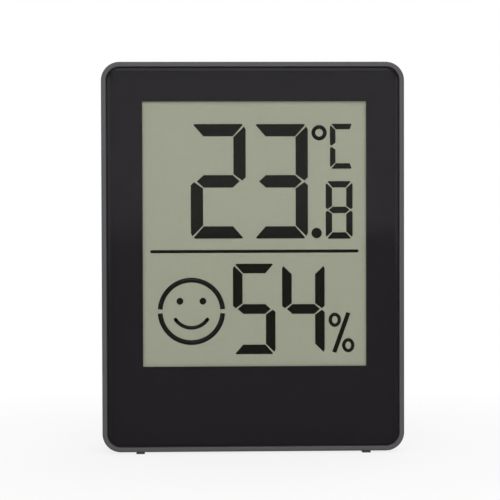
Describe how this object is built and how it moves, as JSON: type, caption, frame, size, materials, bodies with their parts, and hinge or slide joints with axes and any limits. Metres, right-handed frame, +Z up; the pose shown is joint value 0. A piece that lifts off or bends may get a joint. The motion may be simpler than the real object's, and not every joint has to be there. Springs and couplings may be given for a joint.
{
  "type": "digital thermo-hygrometer",
  "caption": "Small battery-powered room thermometer and humidity meter with an LCD, a fold-out stand, a twist battery door, a unit button, a keyhole and a magnetic back.",
  "frame": {"origin": "on the table under the middle of the case, at the underside of its feet", "axes": "+Z up, -Y out of the display, +X to the right seen from the front"},
  "size_m": [0.0458, 0.014, 0.0593],
  "materials": {
    "case_plastic": "fine spark-eroded grain",
    "stand_plastic": "fine spark-eroded grain",
    "button_plastic": "satin",
    "clear_acrylic": "polished",
    "mask_ink": "screen-printed",
    "tape": "translucent",
    "lcd_film": "anti-glare",
    "lcd_glass": "polished",
    "reflector_film": "satin",
    "strip_rubber": "matt",
    "board_laminate": "solder mask",
    "screw_steel": "zinc plated",
    "can_metal": "satin",
    "chip_ceramic": "matt",
    "black_epoxy": "satin",
    "white_plastic": "satin",
    "cell_can": "nickel-plated can with the density of a whole cell",
    "contact_metal": "nickel plated",
    "magnet_nickel": "nickel plated"
  },
  "bodies": {
    "housing": {"front_frame": "case_plastic", "front_window": "clear_acrylic", "window_mask": "mask_ink", "window_tape": "tape", "lcd_front_polarizer": "lcd_film", "lcd_front_glass": "lcd_glass", "lcd_rear_glass": "lcd_glass", "lcd_reflector": "reflector_film", "zebra_connector": "strip_rubber", "lcd_cushion": "strip_rubber", "circuit_board": "board_laminate", "board_screws": "screw_steel", "controller_blob": "black_epoxy", "clock_crystal": "can_metal", "chip_components": "chip_ceramic", "humidity_sensor": "white_plastic", "thermistor": "black_epoxy", "tact_switch": "black_epoxy", "coin_cell": "cell_can", "positive_contact": "contact_metal", "negative_contact": "contact_metal", "rear_case": "case_plastic", "magnets": "magnet_nickel", "case_screws": "screw_steel"},
    "unit_key": {"unit_button": "button_plastic", "switch_stem": "white_plastic"},
    "door": {"battery_door": "case_plastic"},
    "prop": {"stand": "stand_plastic"}
  },
  "joints": [
    {"name": "stand_fold", "type": "hinge", "parent": "housing", "child": "prop", "pos_m": [0, 0.0059, 0.048], "axis": [1, 0, 0], "range_deg": [0, 30]},
    {"name": "door_twist", "type": "hinge", "parent": "housing", "child": "door", "pos_m": [0, 0.0069, 0.03375], "axis": [0, 1, 0], "range_deg": [0, 40]},
    {"name": "button_press", "type": "slide", "parent": "housing", "child": "unit_key", "axis": [0, -1, 0], "range_m": [0, 0.0003], "stiffness_N_per_m": 2500}
  ]
}
